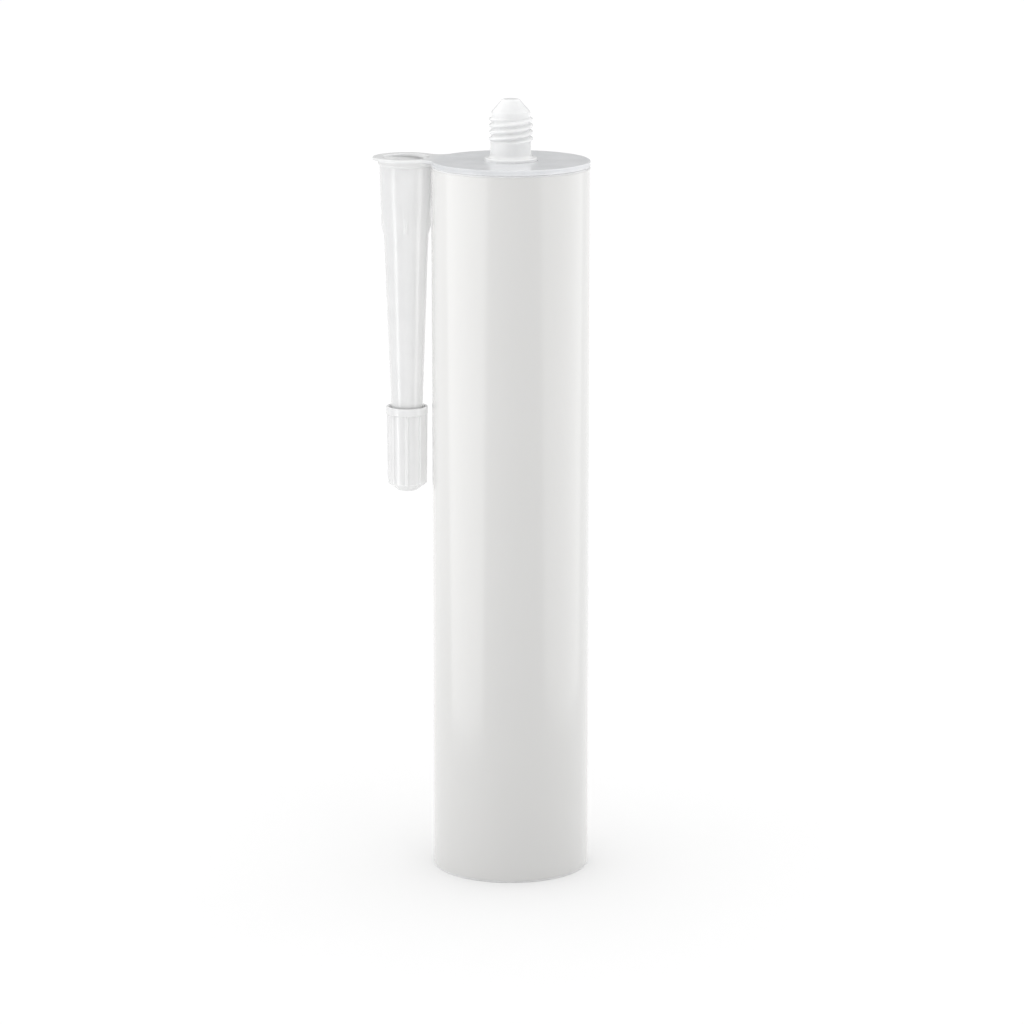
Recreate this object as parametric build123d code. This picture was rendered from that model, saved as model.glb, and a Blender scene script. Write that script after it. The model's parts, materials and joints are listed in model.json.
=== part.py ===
from build123d import *
import os

# A sealant cartridge standing on its rear rim, in millimetres, +Z up.
# The origin is the centre of the rear opening, in the plane of the rim it stands on.
# The spare nozzle hangs tip down beside the barrel, on the -X side, from a web on the
# holder disc that is pressed over the nipple.

# Cartridge: barrel, flat shoulder and closed nipple, moulded as one piece.
barrel_d = 48.2
barrel_wall = 1.25
barrel_height = 219.9
shoulder_thickness = 1.8
shoulder_rounding = 0.6
shoulder_inner_rounding = 1.5
rear_bore_extra = 0.25
rear_bore_length = 8.0

# Nipple: a low boss, a plain neck, the threaded stretch, a plain land and a blunt cone.
# The thread's turns are too fine for a solid, so it is its outer cylinder here.
thread_crest_d = 13.4
thread_depth = 0.77
thread_length = 8.7
thread_chamfer = 0.7
boss_width = 1.3
boss_proud = 1.0
boss_rounding = 0.4
neck_length = 3.7
neck_inset = 0.5
neck_flare = 1.2
land_length = 1.4
cone_length = 3.85
tip_d = 5.2
tip_rounding = 0.6
nipple_wall = 1.5
tip_wall = 1.5

# Label film around the barrel.
label_thickness = 0.13
label_glue = 0.02
label_margin = 0.6

# Piston: a thin cup with two sealing lips, open to the rear, with ribs behind its face.
piston_length = 18.0
piston_setback = 2.5
piston_clearance = 0.1
piston_wall = 1.5
piston_face = 2.0
piston_waist_depth = 0.8
piston_lip_length = 3.5
piston_chamfer = 2.0
piston_rib_count = 6
piston_rib_thickness = 1.2
piston_rib_height = 8.0
piston_rib_rise = 4.0
piston_hub_d = 9.0

# Sealant: it fills the space ahead of the piston.
sealant_clearance = 0.1

# Holder disc around the boss, and the web that joins it to the nozzle's flange.
holder_thickness = 1.6
holder_hole_clearance = 0.15
holder_rounding = 0.35
web_rounding = 3.6

# Nozzle: its mouth is level with the disc's top, and its tip points down.
nozzle_gap = 1.0
nozzle_length = 102.2
nozzle_wall = 1.05
nozzle_tip_d = 7.8
nozzle_tip_chamfer = 0.3
flange_width = 2.15
flange_thickness = 0.85
collar_width = 0.55
collar_depth = 2.1
collar_slope = 0.7
socket_clearance = 0.15
socket_seat_gap = 1.2
socket_mouth_wall = 1.2
socket_foot_wall = 0.9
mouth_chamfer = 0.4
cone_top_d = 13.7
taper_length = 9.8
grip_rib_count = 4
grip_rib_turn = 15.0
grip_rib_inset = 0.15
grip_rib_thickness = 1.0
grip_rib_length = 6.1
grip_rib_slope = 2.5

# Cap pushed over the nozzle's tip.
cap_length = 26.4
cap_wall = 1.15
cap_floor = 1.2
cap_clearance = 0.12
cap_tip_gap = 0.6
cap_tip_clearance = 0.7
cap_grip_depth = 3.3
cap_foot_height = 2.3
cap_foot_inset = 0.85
cap_lip_height = 2.4
cap_lip_proud = 0.47
cap_lip_wall = 0.75
cap_lip_rounding = 0.3
cap_rib_count = 8
cap_rib_turn = 15.0
cap_rib_proud = 0.35
cap_rib_thickness = 0.9

# Radii that follow from them.
barrel_r = barrel_d / 2
bore_r = barrel_r - barrel_wall
label_r = barrel_r + label_glue + label_thickness
crest_r = thread_crest_d / 2
root_r = crest_r - thread_depth
boss_r = crest_r + boss_width
nipple_bore_r = root_r - nipple_wall
socket_bore_r = crest_r + socket_clearance
socket_mouth_r = socket_bore_r + socket_mouth_wall
socket_foot_r = socket_bore_r + socket_foot_wall
channel_r = cone_top_d / 2 - nozzle_wall

# Heights that follow from them.
shoulder_under = barrel_height - shoulder_thickness
boss_top = barrel_height + holder_thickness + boss_proud
thread_bottom = boss_top + neck_length
thread_top = thread_bottom + thread_length
cone_bottom = thread_top + land_length
nipple_top = cone_bottom + cone_length
piston_rear = rear_bore_length + piston_setback
piston_front = piston_rear + piston_length
mouth_z = barrel_height + holder_thickness
seat_z = mouth_z - (cone_bottom - boss_top) - socket_seat_gap
cone_top_z = seat_z - taper_length
nozzle_tip_z = mouth_z - nozzle_length
cap_inner_z = nozzle_tip_z - cap_tip_gap
cap_bottom_z = cap_inner_z - cap_floor
cap_top_z = cap_bottom_z + cap_length

at_nozzle = Pos(-(label_r + nozzle_gap + socket_mouth_r), 0, 0)
standing = (Align.CENTER, Align.CENTER, Align.MIN)


def turned(outline):
    """Turn an outline of (radius, height) or (radius, height, rounding) points about Z."""
    face = make_face(Plane.XZ * Polyline(*[point[:2] for point in outline], close=True))
    for radius, height, rounding in [point for point in outline if len(point) == 3]:
        corner = face.vertices().sort_by_distance((radius, 0, height))[0]
        face = fillet(corner, rounding)
    return revolve(face, Axis.Z)


def fins(count, turn, thickness, outline):
    """Flat fins at equal turns about Z, each with a (radius, height) outline."""
    flat = Plane.XZ * make_face(Polyline(*outline, close=True))
    fin = extrude(flat, thickness / 2, both=True)
    return [Rot(0, 0, turn + 360 * k / count) * fin for k in range(count)]


def nozzle_r(height):
    """Outer radius of the nozzle's long cone at a height."""
    share = (height - nozzle_tip_z) / (cone_top_z - nozzle_tip_z)
    return (nozzle_tip_d + (cone_top_d - nozzle_tip_d) * share) / 2


def make_cartridge_body():
    outside = turned([
        (0, 0),
        (barrel_r, 0),
        (barrel_r, barrel_height, shoulder_rounding),
        (boss_r, barrel_height),
        (boss_r, boss_top, boss_rounding),
        (crest_r - neck_inset, boss_top, neck_flare),
        (crest_r - neck_inset, thread_bottom),
        (crest_r, thread_bottom + thread_chamfer),
        (crest_r, thread_top - thread_chamfer),
        (root_r, thread_top),
        (root_r, cone_bottom),
        (tip_d / 2, nipple_top, tip_rounding),
        (0, nipple_top),
    ])
    inside = turned([
        (0, 0),
        (bore_r + rear_bore_extra, 0),
        (bore_r + rear_bore_extra, rear_bore_length),
        (bore_r, rear_bore_length),
        (bore_r, shoulder_under, shoulder_inner_rounding),
        (nipple_bore_r, shoulder_under),
        (nipple_bore_r, cone_bottom),
        (0, nipple_top - tip_wall),
    ])
    return outside - inside


def make_label_sleeve():
    inner_r = label_r - label_thickness
    return turned([
        (inner_r, label_margin),
        (label_r, label_margin),
        (label_r, barrel_height - label_margin),
        (inner_r, barrel_height - label_margin),
    ])


def make_piston():
    lip_r = bore_r - piston_clearance
    waist_r = lip_r - piston_waist_depth
    inner_r = waist_r - piston_wall
    rear_lip = piston_rear + piston_lip_length
    front_edge = piston_front - piston_chamfer
    front_lip = front_edge - piston_lip_length
    face_under = piston_front - piston_face
    shell = turned([
        (inner_r, piston_rear),
        (lip_r, piston_rear),
        (lip_r, rear_lip),
        (waist_r, rear_lip + piston_waist_depth),
        (waist_r, front_lip - piston_waist_depth),
        (lip_r, front_lip),
        (lip_r, front_edge),
        (lip_r - piston_chamfer, piston_front),
        (0, piston_front),
        (0, face_under),
        (inner_r, face_under),
    ])
    hub_bottom = face_under - piston_rib_height
    hub = Pos(0, 0, hub_bottom) * Cylinder(piston_hub_d / 2, piston_rib_height, align=standing)
    ribs = fins(piston_rib_count, 0, piston_rib_thickness, [
        (0, hub_bottom),
        (piston_hub_d, hub_bottom),
        (inner_r, hub_bottom + piston_rib_rise),
        (inner_r, face_under),
        (0, face_under),
    ])
    return shell + hub + ribs


def make_sealant():
    column_r = bore_r - sealant_clearance
    core_r = nipple_bore_r - sealant_clearance
    top = shoulder_under - sealant_clearance
    return turned([
        (0, piston_front + sealant_clearance),
        (column_r, piston_front + sealant_clearance),
        (column_r, top, shoulder_inner_rounding),
        (core_r, top),
        (core_r, thread_top),
        (0, thread_top),
    ])


def make_holder():
    """The disc on the shoulder, the flange beside it and the web between them."""
    plan = Circle(label_r) + at_nozzle * Circle(socket_mouth_r + flange_width)
    notches = plan.vertices().filter_by(lambda corner: corner.X < 0)
    plan = fillet(notches, web_rounding)
    plate = Pos(0, 0, mouth_z - flange_thickness) * extrude(plan, flange_thickness)
    disc = Pos(0, 0, barrel_height) * Cylinder(label_r, holder_thickness, align=standing)
    holder = plate + disc
    return fillet(holder.edges().group_by(Axis.Z)[-1], holder_rounding)


def make_nozzle_outside():
    rib_top = seat_z
    rib_foot = rib_top - grip_rib_length
    chamfer_z = nozzle_tip_z + nozzle_tip_chamfer
    body = turned([
        (0, mouth_z - holder_rounding),
        (socket_mouth_r + collar_width, mouth_z - holder_rounding),
        (socket_mouth_r + collar_width, mouth_z - collar_depth),
        (socket_mouth_r, mouth_z - collar_depth - collar_slope),
        (socket_foot_r, seat_z),
        (cone_top_d / 2, cone_top_z),
        (nozzle_r(chamfer_z), chamfer_z),
        (nozzle_tip_d / 2 - nozzle_tip_chamfer, nozzle_tip_z),
        (0, nozzle_tip_z),
    ])
    ribs = fins(grip_rib_count, grip_rib_turn, grip_rib_thickness, [
        (channel_r, rib_top),
        (socket_foot_r - grip_rib_inset, rib_top),
        (socket_foot_r - grip_rib_inset, rib_foot),
        (nozzle_r(rib_foot), rib_foot - grip_rib_slope),
        (channel_r, rib_foot - grip_rib_slope),
    ])
    return body + ribs


def make_nozzle_inside():
    return turned([
        (0, mouth_z),
        (socket_bore_r + mouth_chamfer, mouth_z),
        (socket_bore_r, mouth_z - mouth_chamfer),
        (socket_bore_r, seat_z),
        (channel_r, seat_z - (socket_bore_r - channel_r)),
        (channel_r, cone_top_z),
        (nozzle_tip_d / 2 - nozzle_wall, nozzle_tip_z),
        (0, nozzle_tip_z),
    ])


def make_nozzle_with_holder():
    hole_r = boss_r + holder_hole_clearance
    hole = Pos(0, 0, barrel_height) * Cylinder(hole_r, holder_thickness, align=standing)
    outside = make_holder() + at_nozzle * make_nozzle_outside()
    return outside - at_nozzle * make_nozzle_inside() - hole


def make_nozzle_cap():
    grip_z = cap_top_z - cap_grip_depth
    grip_r = nozzle_r(grip_z) + cap_clearance
    inner_r = nozzle_tip_d / 2 + cap_tip_clearance
    foot_r = nozzle_tip_d / 2 - cap_foot_inset
    foot_top = cap_bottom_z + cap_foot_height
    lip_bottom = cap_top_z - cap_lip_height
    lip_r = grip_r + cap_wall + cap_lip_proud
    shell = turned([
        (0, cap_bottom_z),
        (foot_r, cap_bottom_z),
        (inner_r + cap_wall, foot_top),
        (grip_r + cap_wall, lip_bottom),
        (lip_r, lip_bottom),
        (lip_r, cap_top_z, cap_lip_rounding),
        (lip_r - cap_lip_wall, cap_top_z, cap_lip_rounding),
        (grip_r, grip_z),
        (inner_r, foot_top),
        (foot_r, cap_inner_z),
        (0, cap_inner_z),
    ])
    ribs = fins(cap_rib_count, cap_rib_turn, cap_rib_thickness, [
        (inner_r + cap_wall - cap_rib_proud, foot_top),
        (inner_r + cap_wall + cap_rib_proud, foot_top),
        (grip_r + cap_wall + cap_rib_proud, lip_bottom),
        (grip_r + cap_wall - cap_rib_proud, lip_bottom),
    ])
    return at_nozzle * (shell + ribs)


pieces = {
    "cartridge_body": make_cartridge_body(),
    "label_sleeve": make_label_sleeve(),
    "piston": make_piston(),
    "sealant": make_sealant(),
    "nozzle_with_holder": make_nozzle_with_holder(),
    "nozzle_cap": make_nozzle_cap(),
}

os.makedirs("parts", exist_ok=True)
for node, piece in pieces.items():
    export_step(piece, os.path.join("parts", node + ".step"))
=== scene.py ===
import json
import math
import bmesh
import bpy
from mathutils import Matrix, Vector


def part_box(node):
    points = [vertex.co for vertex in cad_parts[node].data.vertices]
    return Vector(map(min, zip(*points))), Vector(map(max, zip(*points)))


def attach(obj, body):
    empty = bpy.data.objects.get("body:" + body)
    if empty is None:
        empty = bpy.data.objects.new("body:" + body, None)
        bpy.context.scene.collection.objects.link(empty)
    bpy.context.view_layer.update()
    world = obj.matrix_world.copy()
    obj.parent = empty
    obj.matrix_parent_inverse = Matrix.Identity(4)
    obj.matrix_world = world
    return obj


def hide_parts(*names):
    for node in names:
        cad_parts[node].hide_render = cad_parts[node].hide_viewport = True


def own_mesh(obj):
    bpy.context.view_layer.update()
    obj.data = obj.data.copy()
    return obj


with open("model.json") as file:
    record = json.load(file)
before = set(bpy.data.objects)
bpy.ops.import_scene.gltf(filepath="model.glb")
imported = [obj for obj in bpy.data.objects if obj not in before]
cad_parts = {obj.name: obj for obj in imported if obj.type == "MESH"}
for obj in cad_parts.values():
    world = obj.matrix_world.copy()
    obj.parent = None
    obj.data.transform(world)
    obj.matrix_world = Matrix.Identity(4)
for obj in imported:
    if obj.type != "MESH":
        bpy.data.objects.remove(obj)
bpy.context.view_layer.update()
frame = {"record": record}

MM = 0.001
TURN = 2 * math.pi

# How finely round things are divided.
CARTRIDGE_SIDES = 216
NOZZLE_SIDES = 240
CAP_SIDES = 360
SEALANT_SIDES = 144
POCKET_STEPS = 24
PLAN_STEP = 0.5 * MM
ARC_STEPS = 5
SHARP_ANGLE = math.radians(38)

# Cartridge.
BARREL_WALL = 1.25 * MM
SHOULDER_THICKNESS = 1.8 * MM
SHOULDER_ROUNDING = 0.6 * MM
INNER_ROUNDING = 1.5 * MM
RIM_ROUNDING = 0.25 * MM

# Nipple, from the boss up.
BOSS_WIDTH = 1.3 * MM
BOSS_PROUD = 1.0 * MM
BOSS_ROUNDING = 0.4 * MM
NECK_LENGTH = 3.7 * MM
NECK_INSET = 0.5 * MM
NECK_FLARE = 1.2 * MM
THREAD_LENGTH = 8.7 * MM
THREAD_DEPTH = 0.77 * MM
THREAD_PITCH = 2.02 * MM
THREAD_STARTS = 2
THREAD_STEP = 0.13 * MM
THREAD_START = 1.66 * MM
THREAD_RUN_OUT = 1.5 * MM
CREST_SHARE = 0.08
ROOT_SHARE = 0.44
LAND_LENGTH = 1.4 * MM
NIPPLE_WALL = 1.5 * MM
TIP_WALL = 1.5 * MM
TIP_R = 2.6 * MM
TIP_ROUNDING = 0.9 * MM
CONE_ROUNDING = 0.8 * MM

# Label film.
LABEL_THICKNESS = 0.13 * MM
LABEL_SEAM_STEP = 0.05 * MM
LABEL_SEAM_WIDTH = 5.0 * MM
LABEL_SEAM_TURN = math.radians(100)
LABEL_EDGE_ROUNDING = 0.05 * MM

# Holder disc, web and flange.
HOLDER_THICKNESS = 1.6 * MM
HOLE_CLEARANCE = 0.15 * MM
HOLE_ROUNDING = 0.2 * MM
RIM_TOP_ROUNDING = 0.35 * MM
RIM_UNDER_ROUNDING = 0.2 * MM
SEAT_GAP = 0.03 * MM
WEB_ROUNDING = 3.6 * MM
FLANGE_THICKNESS = 0.85 * MM

# Nozzle, from its mouth down.
COLLAR_WIDTH = 0.55 * MM
COLLAR_DEPTH = 2.1 * MM
COLLAR_SLOPE = 0.7 * MM
SOCKET_MOUTH_WALL = 1.2 * MM
SOCKET_FOOT_WALL = 0.9 * MM
SOCKET_THREAD_DEPTH = 0.6 * MM
MOUTH_CHAMFER = 0.4 * MM
CONE_TOP_R = 6.85 * MM
TAPER_LENGTH = 9.8 * MM
NOZZLE_WALL = 1.05 * MM
NOZZLE_TIP_R = 3.9 * MM
NOZZLE_TIP_ROUNDING = 0.3 * MM
GRIP_RIBS = 4
GRIP_RIB_TURN = math.radians(15)
GRIP_RIB_WIDTH = 1.0 * MM
GRIP_RIB_INSET = 0.15 * MM
GRIP_RIB_LENGTH = 6.1 * MM
GRIP_RIB_SLOPE = 2.5 * MM
GRIP_RIB_STEP = 0.4 * MM
RIB_EDGE = 0.45 * MM

# Cap.
CAP_WALL = 1.15 * MM
CAP_FLOOR = 1.2 * MM
CAP_CLEARANCE = 0.12 * MM
CAP_TIP_CLEARANCE = 0.7 * MM
CAP_GRIP_DEPTH = 3.3 * MM
CAP_FOOT_HEIGHT = 2.3 * MM
CAP_FOOT_INSET = 0.85 * MM
CAP_LIP_HEIGHT = 2.4 * MM
CAP_LIP_WALL = 0.75 * MM
CAP_RIBS = 8
CAP_RIB_TURN = math.radians(15)
CAP_RIB_PROUD = 0.35 * MM
CAP_RIB_WIDTH = 0.9 * MM
CAP_ROUNDING = 0.3 * MM

# Piston.
PISTON_WALL = 1.5 * MM
PISTON_FACE = 2.0 * MM
PISTON_WAIST = 0.8 * MM
PISTON_LIP = 3.5 * MM
PISTON_CHAMFER = 2.0 * MM
PISTON_RIBS = 6
PISTON_RIB_THICKNESS = 1.2 * MM
PISTON_RIB_HEIGHT = 8.0 * MM
PISTON_RIB_RISE = 4.0 * MM
PISTON_HUB_R = 4.5 * MM
PISTON_ROUNDING = 0.25 * MM

# Sealant.
SEALANT_CLEARANCE = 0.1 * MM

# A noise is darkest below the low tone and lightest above the high one. Two noises mixed keep
# nearer the middle.
NOISE_LOW = 0.3
NOISE_HIGH = 0.7
MIXED_NOISE_LOW = 0.35
MIXED_NOISE_HIGH = 0.65

# Moulded polyethylene: size of its clouds, of its flow lines and of its grain.
CLOUD_SIZE = 9 * MM
FLOW_SIZE = 2.2 * MM
FLOW_STRETCH = (1, 1, 0.08)
GRAIN_SIZE = 0.35 * MM
MOULD_RELIEF = 0.012 * MM
MOULD_DULLNESS = 0.2
CAP_DULLNESS = 0.19
NATURAL_DARK = (0.77, 0.774, 0.776)
NATURAL_LIGHT = (0.81, 0.813, 0.814)
NOZZLE_DARK = (0.785, 0.787, 0.788)
NOZZLE_LIGHT = (0.815, 0.816, 0.817)
POLYETHYLENE_IOR = 1.51

# How milky the plastic is, and how far light wanders inside it.
MILKINESS = 0.8
MILK_DEPTH = 1 * MM

# Painted shade on the disc where it lies over the barrel: its colour is made darker and a little
# colder than the nozzle's, standing in for the look of light through the milky plastic there.
DISC_PAINTED_SHADE = 0.9
DISC_PAINTED_SHADE_TINT = (0.98, 0.99, 1.01)

# Label film: size of its clouds, of its orange peel and of the lines it was drawn along.
LABEL_CLOUD_SIZE = 35 * MM
PEEL_SIZE = 1.6 * MM
DRAW_SIZE = 6 * MM
DRAW_STRETCH = (1, 1, 0.1)
LABEL_RELIEF = 0.01 * MM
LABEL_DULLNESS = 0.2
LABEL_COAT_DULLNESS = 0.16
# The label's colour toward its head and toward its foot; the darker foot is painted shade.
LABEL_HEAD = (0.628, 0.625, 0.616)
LABEL_FOOT = (0.612, 0.609, 0.6)
LABEL_IOR = 1.5

# Piston plastic: size of its clouds and of its grain.
PISTON_CLOUD_SIZE = 6 * MM
PISTON_GRAIN_SIZE = 0.3 * MM
PISTON_RELIEF = 0.015 * MM
PISTON_DULLNESS = 0.45
PISTON_DARK = (0.79, 0.79, 0.77)
PISTON_LIGHT = (0.84, 0.84, 0.825)
PISTON_CLEARNESS = 0.1
PISTON_IOR = 1.5

# Sealant: size of its drag lines and of its flecks.
DRAG_SIZE = 3 * MM
DRAG_STRETCH = (1, 1, 0.3)
FLECK_SIZE = 0.5 * MM
SEALANT_RELIEF = 0.05 * MM
SEALANT_DULLNESS = 0.35
SEALANT_DARK = (0.76, 0.765, 0.76)
SEALANT_LIGHT = (0.82, 0.825, 0.82)
SEALANT_IOR = 1.45

# Sockets of a Mix node that are told apart only by number.
MIX_FACTOR = 0
MIX_FIRST = 6
MIX_SECOND = 7
MIXED_COLOUR = 2

# Camera, lights and floor.
CAMERA_TURN = math.radians(15.4)
CAMERA_TILT = math.radians(12.374)
CAMERA_BACK = 1277.4 * MM
CAMERA_HEIGHT = 392.4 * MM
CAMERA_SIDE = 0.37 * MM
CAMERA_LENS = 148.74
FLOOR_HALF = 9.0
FLOOR_MOTTLE = 0.4
FLOOR_LIGHT = (0.965, 0.965, 0.965)
FLOOR_DARK = (0.955, 0.955, 0.955)
FLOOR_DULLNESS = 0.9
NOZZLE_SIDE = ("nozzle_and_holder", "tip_cap")
WORLD_COLOUR = (1.0, 1.0, 1.0)
WORLD_STRENGTH = 0.38

# Each light's name, turn from the camera in degrees, height and distance of its box, width and
# length of the box, and strength. Lengths are in metres.
OVERHEAD = ("overhead", 180, 4.0, 1.2, 16.0, 16.0, 2.65)
BARREL_LIGHTS = (
    ("left_softbox", -66, 0.15, 0.15, 0.19, 0.36, 2.6),
    ("right_softbox", 82, 0.15, 0.17, 0.27, 0.36, 1.75),
)
NOZZLE_LIGHTS = (
    ("nozzle_left", -60, 0.085, 0.36, 0.1, 0.16, 12.0),
    ("nozzle_right", 66, 0.085, 0.42, 0.15, 0.16, 9.0),
    ("nozzle_glow", 100, 0.2, 0.42, 0.4, 0.44, 1.0),
    ("nozzle_fill", 10, 0.1, 0.5, 0.5, 0.4, 1.0),
)


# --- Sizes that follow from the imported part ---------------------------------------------

mounts = {mount["name"]: mount for mount in frame["record"]["mounts"]}


def mount_size(name, key):
    """A length of one of the record's mounts, in metres."""
    return mounts[name]["dims"][key] * MM


barrel_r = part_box("cartridge_body")[1].x
nipple_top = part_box("cartridge_body")[1].z
label_low, label_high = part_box("label_sleeve")
label_r = label_high.x
crest_r = mount_size("nipple", "r_mm")
root_r = crest_r - THREAD_DEPTH
boss_r = crest_r + BOSS_WIDTH
bore_r = barrel_r - BARREL_WALL
nipple_bore_r = root_r - NIPPLE_WALL

holder_low, holder_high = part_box("nozzle_with_holder")
mouth_z = holder_high.z
shoulder_z = mouth_z - HOLDER_THICKNESS
shoulder_under = shoulder_z - SHOULDER_THICKNESS
boss_top = mouth_z + BOSS_PROUD
thread_bottom = boss_top + NECK_LENGTH
thread_top = thread_bottom + THREAD_LENGTH
cone_bottom = thread_top + LAND_LENGTH

nozzle_axis = Vector(mounts["nozzle_mouth"]["pos_m"][:2])
flange_r = nozzle_axis.x - holder_low.x
flange_under = mouth_z - FLANGE_THICKNESS
socket_bore_r = mount_size("nozzle_mouth", "r_mm")
socket_mouth_r = socket_bore_r + SOCKET_MOUTH_WALL
socket_foot_r = socket_bore_r + SOCKET_FOOT_WALL
seat_z = mounts["nozzle_mouth"]["pos_m"][2] - mount_size("nozzle_mouth", "length_mm") / 2
cone_top_z = seat_z - TAPER_LENGTH
channel_r = CONE_TOP_R - NOZZLE_WALL
nozzle_tip_z = holder_low.z


def nozzle_r(height):
    """Outer radius of the nozzle's long cone at a height."""
    share = (height - nozzle_tip_z) / (cone_top_z - nozzle_tip_z)
    return NOZZLE_TIP_R + (CONE_TOP_R - NOZZLE_TIP_R) * share


# --- Outlines ---------------------------------------------------------------------------

def rounded(points):
    """An outline through (radius, height) points, with an arc at each (radius, height, rounding)."""
    outline = []
    for k, point in enumerate(points):
        if len(point) == 2:
            outline.append(point)
            continue
        corner = Vector(point[:2])
        back = (Vector(points[k - 1][:2]) - corner).normalized()
        on = (Vector(points[(k + 1) % len(points)][:2]) - corner).normalized()
        half = back.angle(on) / 2
        centre = corner + (back + on).normalized() * point[2] / math.sin(half)
        start = corner + back * point[2] / math.tan(half) - centre
        end = corner + on * point[2] / math.tan(half) - centre
        for step in range(ARC_STEPS + 1):
            way = start.slerp(end, step / ARC_STEPS).normalized()
            outline.append(tuple(centre + way * point[2]))
    return outline


def straight(start, end, step):
    """The points of a straight stretch of outline, about a step apart, without its ends."""
    count = math.ceil(math.dist(start, end) / step)
    points = []
    for k in range(1, count):
        share = k / count
        radius = start[0] + (end[0] - start[0]) * share
        height = start[1] + (end[1] - start[1]) * share
        points.append((radius, height))
    return points


def ease(low, high, value):
    """0 below low, 1 above high, and a smooth rise between them."""
    share = min(max((value - low) / (high - low), 0), 1)
    return share * share * (3 - 2 * share)


def thread_rise(height, angle, foot, top):
    """How far up the thread's ridges a point is: 0 in the groove, 1 on the crest."""
    ridge = (height - foot - THREAD_START) / THREAD_PITCH - THREAD_STARTS * angle / TURN
    aside = abs((ridge + 0.5) % 1 - 0.5)
    run_in = ease(foot, foot + THREAD_RUN_OUT, height)
    run_out = 1 - ease(top - THREAD_RUN_OUT / 2, top, height)
    return (1 - ease(CREST_SHARE, ROOT_SHARE, aside)) * run_in * run_out


def rib_rise(angle, radius, count, turn, width):
    """1 on ribs that stand at equal turns around a round surface, and 0 between them."""
    spacing = TURN / count
    aside = abs((angle - turn + spacing / 2) % spacing - spacing / 2) * radius
    return 1 - ease(width / 2 - RIB_EDGE / 2, width / 2 + RIB_EDGE / 2, aside)


# --- Meshes -----------------------------------------------------------------------------

pieces = []


def ring(mesh, radius, height, sides, centre=Vector((0, 0)), shape=None):
    """One turn of corners; shape(radius, height, angle) gives each corner its own radius."""
    if radius == 0:
        return [mesh.verts.new((centre.x, centre.y, height))]
    corners = []
    for k in range(sides):
        angle = TURN * k / sides
        own = shape(radius, height, angle) if shape else radius
        x = centre.x + own * math.cos(angle)
        y = centre.y + own * math.sin(angle)
        corners.append(mesh.verts.new((x, y, height)))
    return corners


def skin(mesh, rings):
    """Faces between each ring of corners and the next."""
    for first, second in zip(rings, rings[1:]):
        for k in range(max(len(first), len(second))):
            pair = (first, k), (first, k + 1), (second, k + 1), (second, k)
            corners = list(dict.fromkeys(loop[at % len(loop)] for loop, at in pair))
            if len(corners) > 2:
                mesh.faces.new(corners)


def turned(outline, sides, centre=Vector((0, 0)), shape=None):
    """A mesh with the closed outline of (radius, height) points turned about Z."""
    mesh = bmesh.new()
    rings = [ring(mesh, *point, sides, centre, shape) for point in outline]
    skin(mesh, rings + rings[:1])
    return mesh


def fill(mesh, *loops):
    """Flat faces over the space that closed loops of corners bound."""
    edges = []
    for loop in loops:
        for pair in zip(loop, loop[1:] + loop[:1]):
            edges.append(mesh.edges.get(pair) or mesh.edges.new(pair))
    bmesh.ops.triangle_fill(mesh, use_beauty=True, edges=edges)


def piece(name, mesh, body, slot, material, *nodes, flat_shading=True):
    """The finished object for a mesh: it rides on the body and stands for the nodes."""
    bmesh.ops.recalc_face_normals(mesh, faces=mesh.faces)
    data = bpy.data.meshes.new(name)
    mesh.to_mesh(data)
    mesh.free()
    data.shade_smooth()
    data.set_sharp_from_angle(angle=SHARP_ANGLE)
    data.materials.append(material)
    made = bpy.data.objects.new(name, data)
    bpy.context.collection.objects.link(made)
    if flat_shading:
        made.modifiers.new("flat_faces_stay_flat", "WEIGHTED_NORMAL").keep_sharp = True
    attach(made, body)
    if nodes:
        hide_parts(*nodes)
    pieces.append(made)
    return made


# --- Finishes ---------------------------------------------------------------------------

class Value:
    """A value that changes over a surface. Arithmetic on it adds Math nodes."""

    def __init__(self, finish, socket):
        self.finish = finish
        self.socket = socket

    def __add__(self, other):
        return self.finish.math("ADD", self, other)

    def __sub__(self, other):
        return self.finish.math("SUBTRACT", self, other)

    def __rsub__(self, other):
        return self.finish.math("SUBTRACT", other, self)

    def __mul__(self, other):
        return self.finish.math("MULTIPLY", self, other)

    __radd__ = __add__
    __rmul__ = __mul__


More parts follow.
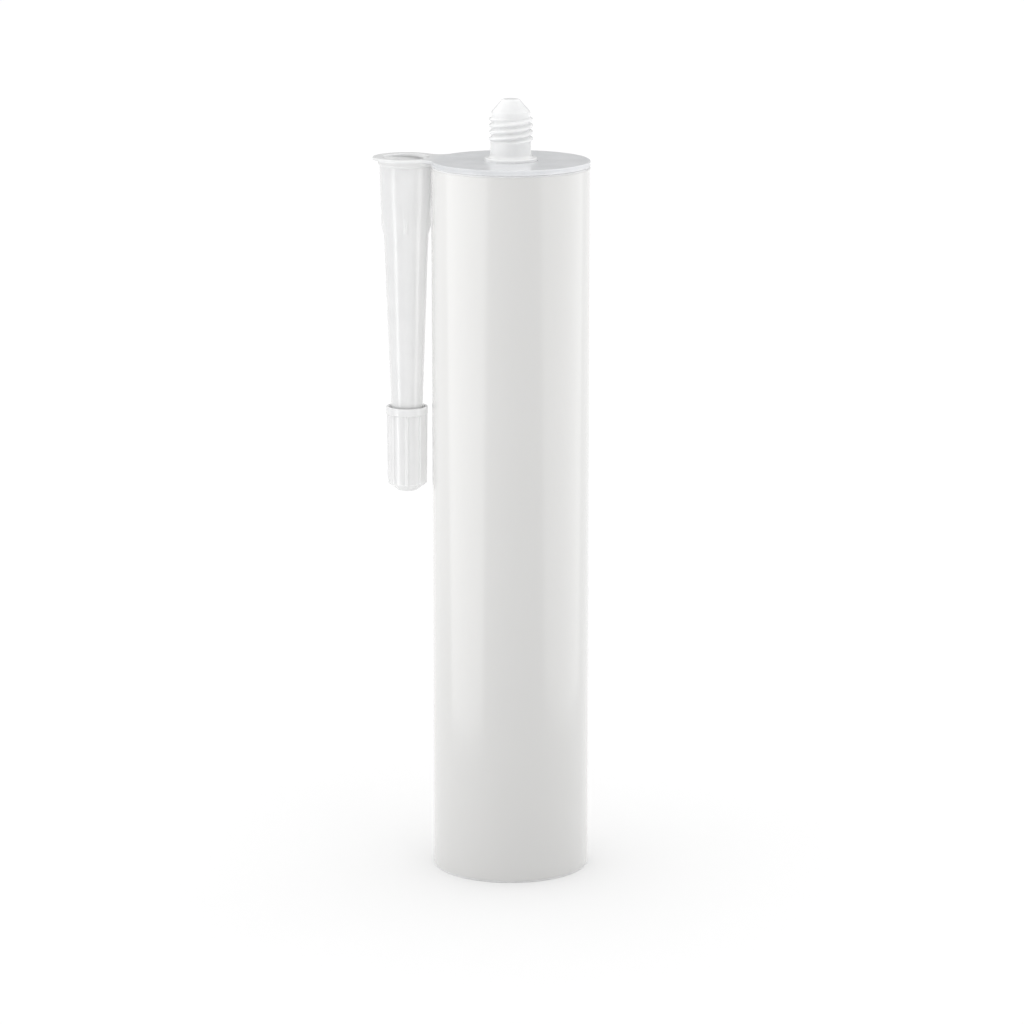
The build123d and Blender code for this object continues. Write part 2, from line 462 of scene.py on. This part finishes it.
class Finish:
    """A material with one Principled surface, and the nodes that feed it."""

    def __init__(self, name):
        self.material = bpy.data.materials.new(name)
        self.material.use_nodes = True
        self.tree = self.material.node_tree
        self.surface = self.tree.nodes["Principled BSDF"]
        self.place = self.node("ShaderNodeTexCoord", {}, {}, "Object")

    def feed(self, node, sockets):
        """Link or set each of the node's sockets."""
        for name, value in sockets.items():
            if isinstance(value, Value):
                self.tree.links.new(value.socket, node.inputs[name])
            else:
                node.inputs[name].default_value = value

    def node(self, kind, settings, sockets, output=0):
        """A new node with its settings and its fed sockets; gives one of its outputs."""
        made = self.tree.nodes.new(kind)
        for setting, value in settings.items():
            setattr(made, setting, value)
        self.feed(made, sockets)
        return Value(self, made.outputs[output])

    def math(self, operation, first, second):
        return self.node("ShaderNodeMath", {"operation": operation}, {0: first, 1: second})

    def noise(self, size, detail=2, stretch=(1, 1, 1)):
        """Soft random tone around 0.5, in patches of about this size."""
        scale = tuple(share / size for share in stretch)
        place = self.node("ShaderNodeMapping", {}, {"Vector": self.place, "Scale": scale})
        sockets = {"Vector": place, "Scale": 1, "Detail": detail}
        return self.node("ShaderNodeTexNoise", {}, sockets)

    def height(self):
        """Height above the foot of the part."""
        return self.node("ShaderNodeSeparateXYZ", {}, {"Vector": self.place}, "Z")

    def across(self):
        """Distance from the barrel's axis, less than 0 on the nozzle's side."""
        return self.node("ShaderNodeSeparateXYZ", {}, {"Vector": self.place}, "X")

    def swinging(self, middle, *swings):
        """A value that swings around the middle, by an amount for each (tone, amount)."""
        value = middle
        for tone, amount in swings:
            value = value + (tone - 0.5) * amount
        return value

    def ramp(self, value, low, high):
        """0 where a value is at low, 1 at high, and a smooth rise between them."""
        settings = {"interpolation_type": "SMOOTHSTEP"}
        return self.node("ShaderNodeMapRange", settings, {0: value, 1: low, 2: high})

    def colour(self, factor, first, second):
        """The first colour where factor is 0, and the second where it is 1."""
        sockets = {MIX_FACTOR: factor, MIX_FIRST: (*first, 1), MIX_SECOND: (*second, 1)}
        return self.node("ShaderNodeMix", {"data_type": "RGBA"}, sockets, MIXED_COLOUR)

    def tint(self, factor, colour, shade):
        """The colour where factor is 0, and the colour times the shade where it is 1."""
        settings = {"data_type": "RGBA", "blend_type": "MULTIPLY"}
        sockets = {MIX_FACTOR: factor, MIX_FIRST: colour, MIX_SECOND: (*shade, 1)}
        return self.node("ShaderNodeMix", settings, sockets, MIXED_COLOUR)

    def bump(self, height, depth):
        """Relief of this depth where height goes from 0 to 1."""
        sockets = {"Strength": 1, "Distance": depth, "Height": height}
        return self.node("ShaderNodeBump", {}, sockets)

    def finished(self, sockets):
        self.feed(self.surface, sockets)
        return self.material


def moulded_polyethylene(name, dark, light, dullness, painted_shade_over_barrel=1):
    """Milky, faintly clouded plastic with the fine skin of a steel mould.

    The last argument is painted shade: how bright its colour is made where it lies on the barrel's
    shoulder, against elsewhere, standing in for the look of light through the plastic.
    """
    finish = Finish(name)
    cloud = finish.noise(CLOUD_SIZE, detail=3)
    flow = finish.noise(FLOW_SIZE, detail=2, stretch=FLOW_STRETCH)
    grain = finish.noise(GRAIN_SIZE, detail=2)
    mixed = cloud * 0.7 + flow * 0.3
    tone = finish.ramp(mixed, MIXED_NOISE_LOW, MIXED_NOISE_HIGH)
    colour = finish.colour(tone, dark, light)
    # Painted shade: a darker, colder colour where the plate lies over the barrel.
    if painted_shade_over_barrel < 1:
        painted_shade_on_disc = finish.ramp(finish.across(), -label_r - WEB_ROUNDING, WEB_ROUNDING - label_r)
        shade = [painted_shade_over_barrel * part for part in DISC_PAINTED_SHADE_TINT]
        colour = finish.tint(painted_shade_on_disc, colour, shade)
    return finish.finished({
        "Base Color": colour,
        "Roughness": finish.swinging(dullness, (cloud, 0.12), (grain, 0.1)),
        "Normal": finish.bump(grain * 0.5 + flow * 0.6 + cloud * 1.2, MOULD_RELIEF),
        "IOR": POLYETHYLENE_IOR,
        "Subsurface Weight": MILKINESS,
        "Subsurface Radius": (1, 1, 1),
        "Subsurface Scale": MILK_DEPTH,
    })


def label_film():
    """Warm white gloss film, drawn tight around the barrel, with a faint orange-peel skin, and
    painted shade that darkens it toward its foot.
    """
    finish = Finish("label_film")
    cloud = finish.noise(LABEL_CLOUD_SIZE, detail=2)
    peel = finish.noise(PEEL_SIZE, detail=2)
    draw = finish.noise(DRAW_SIZE, detail=2, stretch=DRAW_STRETCH)
    # Painted shade: the film's colour gets darker toward its foot, mixed with its random clouds.
    painted_shade_toward_foot = 1 - finish.ramp(finish.height(), 0, label_high.z)
    tone = finish.ramp(cloud, NOISE_LOW, NOISE_HIGH) * 0.35 + painted_shade_toward_foot * 0.65
    return finish.finished({
        "Base Color": finish.colour(tone, LABEL_HEAD, LABEL_FOOT),
        "Roughness": finish.swinging(LABEL_DULLNESS, (cloud, 0.06), (peel, 0.05)),
        "Normal": finish.bump(peel * 0.5 + draw * 1.5, LABEL_RELIEF),
        "IOR": LABEL_IOR,
        "Coat Weight": 1.0,
        "Coat Roughness": LABEL_COAT_DULLNESS,
    })


def piston_polyethylene():
    """Matt off-white plastic with a coarser skin."""
    finish = Finish("piston_polyethylene")
    cloud = finish.noise(PISTON_CLOUD_SIZE, detail=3)
    grain = finish.noise(PISTON_GRAIN_SIZE, detail=2)
    tone = finish.ramp(cloud, NOISE_LOW, NOISE_HIGH)
    return finish.finished({
        "Base Color": finish.colour(tone, PISTON_DARK, PISTON_LIGHT),
        "Roughness": finish.swinging(PISTON_DULLNESS, (cloud, 0.15), (grain, 0.1)),
        "Normal": finish.bump(grain + cloud, PISTON_RELIEF),
        "IOR": PISTON_IOR,
        "Transmission Weight": PISTON_CLEARNESS,
    })


def sealant_paste():
    """Thick white paste with the faint drag lines of a filled cartridge."""
    finish = Finish("sealant_paste")
    drag = finish.noise(DRAG_SIZE, detail=3, stretch=DRAG_STRETCH)
    fleck = finish.noise(FLECK_SIZE, detail=2)
    tone = finish.ramp(drag, NOISE_LOW, NOISE_HIGH)
    return finish.finished({
        "Base Color": finish.colour(tone, SEALANT_DARK, SEALANT_LIGHT),
        "Roughness": finish.swinging(SEALANT_DULLNESS, (drag, 0.2), (fleck, 0.1)),
        "Normal": finish.bump(drag + fleck * 0.4, SEALANT_RELIEF),
        "IOR": SEALANT_IOR,
    })


# --- The cartridge and its label --------------------------------------------------------

def nipple_shape(radius, height, angle):
    """The thread's ridges outside the nipple."""
    outside = radius >= root_r and thread_bottom < height < thread_top
    rise = thread_rise(height, angle, thread_bottom, thread_top) if outside else 0
    return radius + THREAD_DEPTH * rise


def make_cartridge(material):
    neck_r = crest_r - NECK_INSET
    rear_r = mount_size("rear_bore", "r_mm")
    rear_depth = mount_size("rear_bore", "length_mm")
    outline = rounded([
        (0, nipple_top),
        (TIP_R, nipple_top, TIP_ROUNDING),
        (root_r, cone_bottom, CONE_ROUNDING),
        (root_r, thread_top),
    ])
    outline += straight((root_r, thread_top), (root_r, thread_bottom + NECK_FLARE), THREAD_STEP)
    outline += rounded([
        (root_r, thread_bottom + NECK_FLARE),
        (neck_r, thread_bottom),
        (neck_r, boss_top, NECK_FLARE),
        (boss_r, boss_top, BOSS_ROUNDING),
        (boss_r, shoulder_z),
        (barrel_r, shoulder_z, SHOULDER_ROUNDING),
        (barrel_r, 0, RIM_ROUNDING),
        (rear_r, 0, RIM_ROUNDING),
        (rear_r, rear_depth),
        (bore_r, rear_depth),
        (bore_r, shoulder_under, INNER_ROUNDING),
        (nipple_bore_r, shoulder_under),
        (nipple_bore_r, cone_bottom),
        (0, nipple_top - TIP_WALL),
    ])
    mesh = turned(outline, CARTRIDGE_SIDES, shape=nipple_shape)
    piece("cartridge_shell", mesh, "cartridge", "natural_polyethylene", material, "cartridge_body")


def label_shape(radius, height, angle):
    """The film's end laps over its start at the back, and the lap sinks back to one layer."""
    on_inner_face = radius <= barrel_r + LABEL_THICKNESS / 3
    if on_inner_face:
        return radius
    past_seam = (angle - LABEL_SEAM_TURN) % TURN * label_r
    return radius + LABEL_SEAM_STEP * (1 - ease(0, LABEL_SEAM_WIDTH, past_seam))


def make_label(material):
    inner_r = label_r - LABEL_THICKNESS
    outer_r = label_r - LABEL_SEAM_STEP
    mesh = turned(rounded([
        (inner_r, label_low.z),
        (outer_r, label_low.z, LABEL_EDGE_ROUNDING / 2),
        (outer_r, label_high.z, LABEL_EDGE_ROUNDING / 2),
        (inner_r, label_high.z),
    ]), CARTRIDGE_SIDES, shape=label_shape)
    piece("label_film", mesh, "cartridge", "label_film", material, "label_sleeve")


# --- The piston and the sealant ---------------------------------------------------------

def pocket_ends(radius, rib):
    """Angles at which the pocket after a rib starts and ends, at a radius."""
    aside = math.asin(PISTON_RIB_THICKNESS / 2 / radius)
    return TURN * rib / PISTON_RIBS + aside, TURN * (rib + 1) / PISTON_RIBS - aside


def pocket_arc(radius, rib, height):
    """Points (radius, angle, height) across the pocket after a rib."""
    start, end = pocket_ends(radius, rib)
    steps = range(POCKET_STEPS + 1)
    return [(radius, start + (end - start) * step / POCKET_STEPS, height) for step in steps]


def make_piston(material):
    low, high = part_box("piston")
    rear, front, lip_r = low.z, high.z, high.x
    waist_r = lip_r - PISTON_WAIST
    inner_r = waist_r - PISTON_WALL
    front_edge = front - PISTON_CHAMFER
    face_under = front - PISTON_FACE
    hub_bottom = face_under - PISTON_RIB_HEIGHT
    wall_top = hub_bottom + PISTON_RIB_RISE
    # Out to this radius the ribs are level with the hub.
    flat_r = 2 * PISTON_HUB_R
    mesh = bmesh.new()

    def corner(radius, angle, height):
        return mesh.verts.new((radius * math.cos(angle), radius * math.sin(angle), height))

    wall_angles = []
    wall_ring = []
    hub_loop = []
    first_sides = []
    last_sides = []
    for rib in range(PISTON_RIBS):
        start, end = pocket_ends(flat_r, rib)
        hub_arc = pocket_arc(PISTON_HUB_R, rib, hub_bottom)
        wall_arc = pocket_arc(inner_r, rib, wall_top)
        hub_outline = [(flat_r, start, hub_bottom), *hub_arc, (flat_r, end, hub_bottom)]
        outline = [*hub_outline, *reversed(wall_arc)]
        brink = [corner(*point) for point in outline]
        bed = [corner(radius, angle, face_under) for radius, angle, height in outline]
        skin(mesh, [brink, bed])
        fill(mesh, bed)
        hub_side = brink[:len(hub_outline)]
        wall_side = list(reversed(brink[len(hub_outline):]))
        hub_loop += hub_side
        wall_ring += wall_side
        wall_angles += [angle for radius, angle, height in wall_arc]
        first_sides.append((hub_side[0], wall_side[0]))
        last_sides.append((hub_side[-1], wall_side[-1]))
    fill(mesh, hub_loop)
    for rib in range(PISTON_RIBS):
        near, far = last_sides[rib - 1]
        next_near, next_far = first_sides[rib]
        mesh.faces.new([near, far, next_far, next_near])

    outline = rounded([
        (inner_r, wall_top),
        (inner_r, rear, PISTON_ROUNDING),
        (lip_r, rear, PISTON_ROUNDING),
        (lip_r, rear + PISTON_LIP, PISTON_ROUNDING),
        (waist_r, rear + PISTON_LIP + PISTON_WAIST, PISTON_ROUNDING),
        (waist_r, front_edge - PISTON_LIP - PISTON_WAIST, PISTON_ROUNDING),
        (lip_r, front_edge - PISTON_LIP, PISTON_ROUNDING),
        (lip_r, front_edge, PISTON_ROUNDING),
        (lip_r - PISTON_CHAMFER, front, PISTON_ROUNDING),
        (0, front),
    ])
    rings = [wall_ring]
    for radius, height in outline[1:-1]:
        rings.append([corner(radius, angle, height) for angle in wall_angles])
    skin(mesh, rings + [[corner(0, 0, front)]])
    piece("piston_cup", mesh, "piston", "piston_polyethylene", material, "piston")


def make_sealant(material):
    low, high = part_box("sealant")
    top = shoulder_under - SEALANT_CLEARANCE
    column = piece("sealant_column", turned(rounded([
        (0, low.z),
        (high.x, low.z),
        (high.x, top, INNER_ROUNDING),
        (0, top),
    ]), SEALANT_SIDES), "cartridge", "sealant_paste", material, "sealant", flat_shading=False)
    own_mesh(column)
    core_r = nipple_bore_r - SEALANT_CLEARANCE
    piece("sealant_core", turned(rounded([
        (0, top + SEALANT_CLEARANCE),
        (core_r, top + SEALANT_CLEARANCE),
        (core_r, high.z, SEALANT_CLEARANCE),
        (0, high.z),
    ]), SEALANT_SIDES), "cartridge", "sealant_paste", material, flat_shading=False)


# --- The nozzle with its holder, and the cap --------------------------------------------

def arc(centre, radius, start, end, outward=1, ends=True):
    """Points of an arc with the direction that faces out of the plan at each."""
    count = math.ceil(abs(end - start) * radius / PLAN_STEP)
    steps = range(count + 1) if ends else range(1, count)
    points = []
    for k in steps:
        angle = start + (end - start) * k / count
        way = Vector((math.cos(angle), math.sin(angle)))
        points.append((centre + way * radius, way * outward))
    return points


def nozzle_shape(radius, height, angle):
    """Grip ribs outside the cone's top, and the thread's ridges inside the socket."""
    if radius == socket_bore_r and seat_z < height < mouth_z:
        rise = thread_rise(height, angle, seat_z, mouth_z - MOUTH_CHAMFER)
        return radius - SOCKET_THREAD_DEPTH * rise
    rib_foot = seat_z - GRIP_RIB_LENGTH
    if radius > CONE_TOP_R and rib_foot - GRIP_RIB_SLOPE < height < seat_z:
        full_r = socket_foot_r - GRIP_RIB_INSET
        toward_cone = max(rib_foot - height, 0) / GRIP_RIB_SLOPE
        rib_r = full_r - (full_r - nozzle_r(rib_foot)) * toward_cone
        rise = rib_rise(angle, radius, GRIP_RIBS, GRIP_RIB_TURN, GRIP_RIB_WIDTH)
        return radius + max(rib_r - radius, 0) * rise
    return radius


def holder_plan():
    """The disc's free rim, the rest of its round below the web, and the whole edge of the plate."""
    origin = Vector((0, 0))
    web_from_disc = label_r + WEB_ROUNDING
    web_from_flange = flange_r + WEB_ROUNDING
    web_x = (web_from_disc**2 - web_from_flange**2 + nozzle_axis.x**2) / (2 * nozzle_axis.x)
    web_y = math.sqrt(web_from_disc**2 - web_x**2)
    disc_end = math.atan2(web_y, web_x)
    flange_end = math.atan2(web_y, web_x - nozzle_axis.x)
    left, right = Vector((web_x, web_y)), Vector((web_x, -web_y))
    half_turn = TURN / 2
    free_rim = arc(origin, label_r, -disc_end, disc_end)
    web_left = arc(
        left, WEB_ROUNDING, disc_end - half_turn, flange_end - half_turn, outward=-1, ends=False)
    on_flange = arc(nozzle_axis, flange_r, flange_end, TURN - flange_end)
    web_right = arc(
        right, WEB_ROUNDING, half_turn - flange_end, half_turn - disc_end, outward=-1, ends=False)
    below_web = arc(origin, label_r, disc_end, TURN - disc_end, ends=False)
    return free_rim, below_web, free_rim + web_left + on_flange + web_right


def nozzle_outline():
    """From under the flange, down the outside, then up the channel and the socket to the mouth."""
    collar_r = socket_mouth_r + COLLAR_WIDTH
    thread_end = mouth_z - MOUTH_CHAMFER
    outline = rounded([
        (collar_r, flange_under),
        (collar_r, mouth_z - COLLAR_DEPTH, RIM_UNDER_ROUNDING),
        (socket_mouth_r, mouth_z - COLLAR_DEPTH - COLLAR_SLOPE, RIM_UNDER_ROUNDING),
        (socket_foot_r, seat_z),
    ])
    outline += straight((socket_foot_r, seat_z), (CONE_TOP_R, cone_top_z), GRIP_RIB_STEP)
    outline += rounded([
        (CONE_TOP_R, cone_top_z),
        (NOZZLE_TIP_R, nozzle_tip_z, NOZZLE_TIP_ROUNDING),
        (NOZZLE_TIP_R - NOZZLE_WALL, nozzle_tip_z, NOZZLE_TIP_ROUNDING),
        (channel_r, cone_top_z),
        (channel_r, seat_z - (socket_bore_r - channel_r)),
        (socket_bore_r, seat_z),
    ])
    outline += straight((socket_bore_r, seat_z), (socket_bore_r, thread_end), THREAD_STEP)
    outline += [(socket_bore_r, thread_end), (socket_bore_r + MOUTH_CHAMFER, mouth_z)]
    return outline


def make_nozzle(material):
    free_rim, below_web, plate = holder_plan()
    quarter = [math.pi / 2 * k / ARC_STEPS for k in range(ARC_STEPS + 1)]
    mesh = bmesh.new()

    def row(points, inset, height):
        """Corners along part of the plan, moved in from its edge."""
        return [mesh.verts.new((*(point - way * inset), height)) for point, way in points]

    rim = []
    for turn in quarter:
        inset = RIM_TOP_ROUNDING * (1 - math.sin(turn))
        drop = RIM_TOP_ROUNDING * (1 - math.cos(turn))
        rim.append(row(plate, inset, mouth_z - drop))
    rim.append(row(plate, 0, flange_under))
    skin(mesh, rim)

    seat = shoulder_z + SEAT_GAP
    behind_web = row(below_web, 0, flange_under)
    disc_rows = [rim[-1][:len(free_rim)] + behind_web]
    for turn in quarter:
        inset = RIM_UNDER_ROUNDING * (1 - math.cos(turn))
        rise = RIM_UNDER_ROUNDING * (1 - math.sin(turn))
        disc_rows.append(row(free_rim + below_web, inset, seat + rise))
    skin(mesh, disc_rows)

    hole_r = boss_r + HOLE_CLEARANCE
    beside_hole = (hole_r + 2 * HOLE_ROUNDING, mouth_z)
    hole_outline = rounded([beside_hole, (hole_r, mouth_z, HOLE_ROUNDING), (hole_r, seat)])[1:]
    hole = [ring(mesh, *point, CARTRIDGE_SIDES) for point in hole_outline]
    skin(mesh, hole)

    tube = [ring(mesh, *point, NOZZLE_SIDES, nozzle_axis, nozzle_shape) for point in nozzle_outline()]
    skin(mesh, tube)

    fill(mesh, rim[0], hole[0], tube[-1])
    fill(mesh, disc_rows[-1], hole[-1])
    web_edge = rim[-1][len(free_rim) - 1:] + rim[-1][:1]
    fill(mesh, web_edge + list(reversed(behind_web)), tube[0])
    piece("nozzle_and_holder", mesh, "cartridge", "nozzle_polyethylene", material,
          "nozzle_with_holder")


def make_cap(material):
    low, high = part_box("nozzle_cap")
    bottom, top = low.z, high.z
    lip_r = (high.x - low.x) / 2
    lip_bottom = top - CAP_LIP_HEIGHT
    foot_top = bottom + CAP_FOOT_HEIGHT
    grip_z = top - CAP_GRIP_DEPTH
    grip_r = nozzle_r(grip_z) + CAP_CLEARANCE
    inner_r = NOZZLE_TIP_R + CAP_TIP_CLEARANCE
    foot_r = NOZZLE_TIP_R - CAP_FOOT_INSET

    def cap_shape(radius, height, angle):
        """Ribs outside the cap, between its foot and its lip."""
        if foot_top <= height <= lip_bottom and radius > grip_r + CAP_WALL / 2:
            rise = rib_rise(angle, radius, CAP_RIBS, CAP_RIB_TURN, CAP_RIB_WIDTH)
            return radius + CAP_RIB_PROUD * rise
        return radius

    mesh = turned(rounded([
        (0, bottom),
        (foot_r, bottom, CAP_ROUNDING),
        (inner_r + CAP_WALL, foot_top),
        (grip_r + CAP_WALL, lip_bottom),
        (lip_r, lip_bottom, CAP_ROUNDING / 2),
        (lip_r, top, CAP_ROUNDING),
        (lip_r - CAP_LIP_WALL, top, CAP_ROUNDING),
        (grip_r, grip_z),
        (inner_r, foot_top),
        (foot_r, bottom + CAP_FLOOR),
        (0, bottom + CAP_FLOOR),
    ]), CAP_SIDES, nozzle_axis, cap_shape)
    piece("tip_cap", mesh, "cap", "cap_polyethylene", material, "nozzle_cap")


# --- Floor, lights and camera -----------------------------------------------------------

def make_floor():
    finish = Finish("studio_floor")
    mottle = finish.noise(FLOOR_MOTTLE, detail=2)
    material = finish.finished({
        "Base Color": finish.colour(mottle, FLOOR_LIGHT, FLOOR_DARK),
        "Roughness": FLOOR_DULLNESS,
    })
    mesh = bmesh.new()
    corners = [(-1, -1), (1, -1), (1, 1), (-1, 1)]
    mesh.faces.new([mesh.verts.new((x * FLOOR_HALF, y * FLOOR_HALF, 0)) for x, y in corners])
    data = bpy.data.meshes.new("studio_floor")
    mesh.to_mesh(data)
    mesh.free()
    data.materials.append(material)
    floor = bpy.data.objects.new("studio_floor", data)
    bpy.context.collection.objects.link(floor)


def softbox(name, turn, height, distance, width, tall, strength):
    """A soft light around the part, by its turn from the camera.

    It faces the middle of the barrel, or straight down if it hangs above the camera.
    """
    light = bpy.data.lights.new(name, "AREA")
    light.shape = "RECTANGLE"
    light.size = width
    light.size_y = tall
    light.energy = strength * width * tall
    made = bpy.data.objects.new(name, light)
    around = CAMERA_TURN + math.radians(turn)
    spot = Vector((math.sin(around), -math.cos(around), 0)) * distance
    spot.z = height
    made.location = spot
    if height < CAMERA_HEIGHT:
        aim = Vector((0, 0, mouth_z / 2)) - spot
        made.rotation_euler = aim.to_track_quat("-Z", "Y").to_euler()
    made.visible_camera = False
    bpy.context.collection.objects.link(made)
    return made


def light_the_studio():
    """The overhead light and the world reach everything.

    The softboxes near the part are in two groups, and each group reaches, and is blocked by, its
    own pieces only.
    """
    world = bpy.data.worlds.new("studio")
    world.use_nodes = True
    background = world.node_tree.nodes["Background"]
    background.inputs["Color"].default_value = (*WORLD_COLOUR, 1)
    background.inputs["Strength"].default_value = WORLD_STRENGTH
    bpy.context.scene.world = world
    bpy.context.scene.view_settings.view_transform = "Standard"
    softbox(*OVERHEAD)
    for lights, on_nozzle in ((BARREL_LIGHTS, False), (NOZZLE_LIGHTS, True)):
        for light in lights:
            reach = bpy.data.collections.new(light[0] + "_reach")
            for made in pieces:
                if (made.name in NOZZLE_SIDE) == on_nozzle:
                    reach.objects.link(made)
            linking = softbox(*light).light_linking
            linking.receiver_collection = reach
            linking.blocker_collection = reach


def place_camera():
    camera = bpy.data.cameras.new("camera")
    camera.lens = CAMERA_LENS
    made = bpy.data.objects.new("camera", camera)
    back = Vector((math.sin(CAMERA_TURN), -math.cos(CAMERA_TURN), 0)) * CAMERA_BACK
    side = Vector((math.cos(CAMERA_TURN), math.sin(CAMERA_TURN), 0)) * CAMERA_SIDE
    made.location = back + side + Vector((0, 0, CAMERA_HEIGHT))
    made.rotation_euler = (math.pi / 2 - CAMERA_TILT, 0, CAMERA_TURN)
    bpy.context.collection.objects.link(made)
    bpy.context.scene.camera = made


make_cartridge(moulded_polyethylene(
    "natural_polyethylene", NATURAL_DARK, NATURAL_LIGHT, MOULD_DULLNESS))
make_label(label_film())
make_piston(piston_polyethylene())
make_sealant(sealant_paste())
make_nozzle(moulded_polyethylene(
    "nozzle_polyethylene", NOZZLE_DARK, NOZZLE_LIGHT, MOULD_DULLNESS, DISC_PAINTED_SHADE))
make_cap(moulded_polyethylene(
    "cap_polyethylene", NOZZLE_DARK, NOZZLE_LIGHT, CAP_DULLNESS))

make_floor()
light_the_studio()
place_camera()
